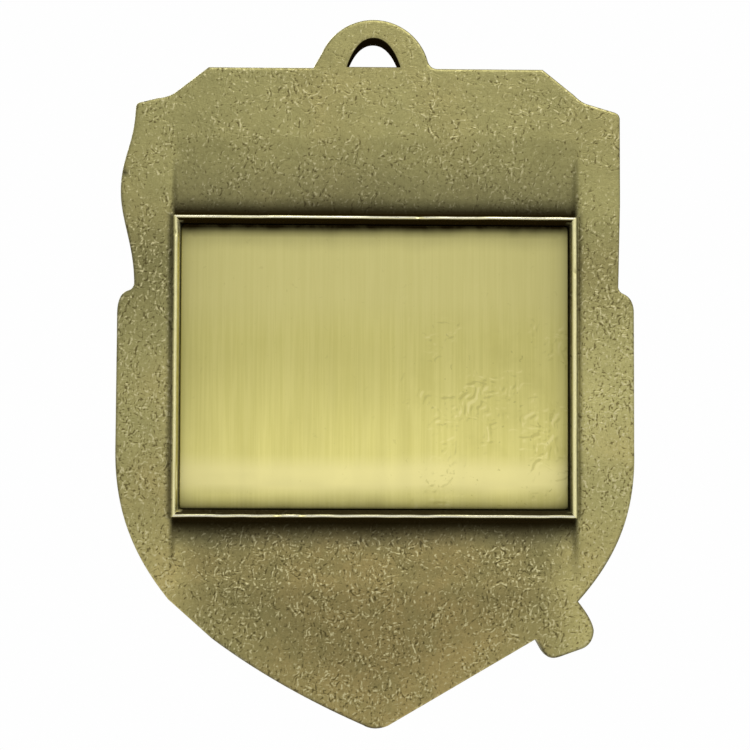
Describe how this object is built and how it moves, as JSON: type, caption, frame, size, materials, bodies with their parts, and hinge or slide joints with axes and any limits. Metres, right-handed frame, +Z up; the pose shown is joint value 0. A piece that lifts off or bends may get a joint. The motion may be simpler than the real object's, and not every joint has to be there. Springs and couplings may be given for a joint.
{
  "type": "shield award medal",
  "caption": "Shield-shaped die-cast award medal with an integral hanging loop and a brushed engraving plate in a framed recess on its back.",
  "frame": {"origin": "hanging point: the top of the loop's eye, halfway through the loop's thickness", "axes": "+Z up through the loop along the medal's height, -Y out of the plain back with the engraving plate, +Y out of the relief, +X to the right as seen from the back"},
  "size_m": [0.053, 0.0046, 0.0725],
  "materials": {
    "antique_gold_casting": "antique gold plating over cast zinc, sand-textured back, dark patina in the creases",
    "brushed_brass_plate": "satin, brushed along its height",
    "adhesive_film": "translucent double-sided film"
  },
  "bodies": {
    "medal": {"medal_casting": "antique_gold_casting"},
    "plate": {"engraving_plate": "brushed_brass_plate", "adhesive_film": "adhesive_film"}
  },
  "joints": [
    {"name": "plate_lift_out", "type": "slide", "parent": "medal", "child": "plate", "axis": [0, -1, 0], "range_m": [0, 0.01]}
  ]
}
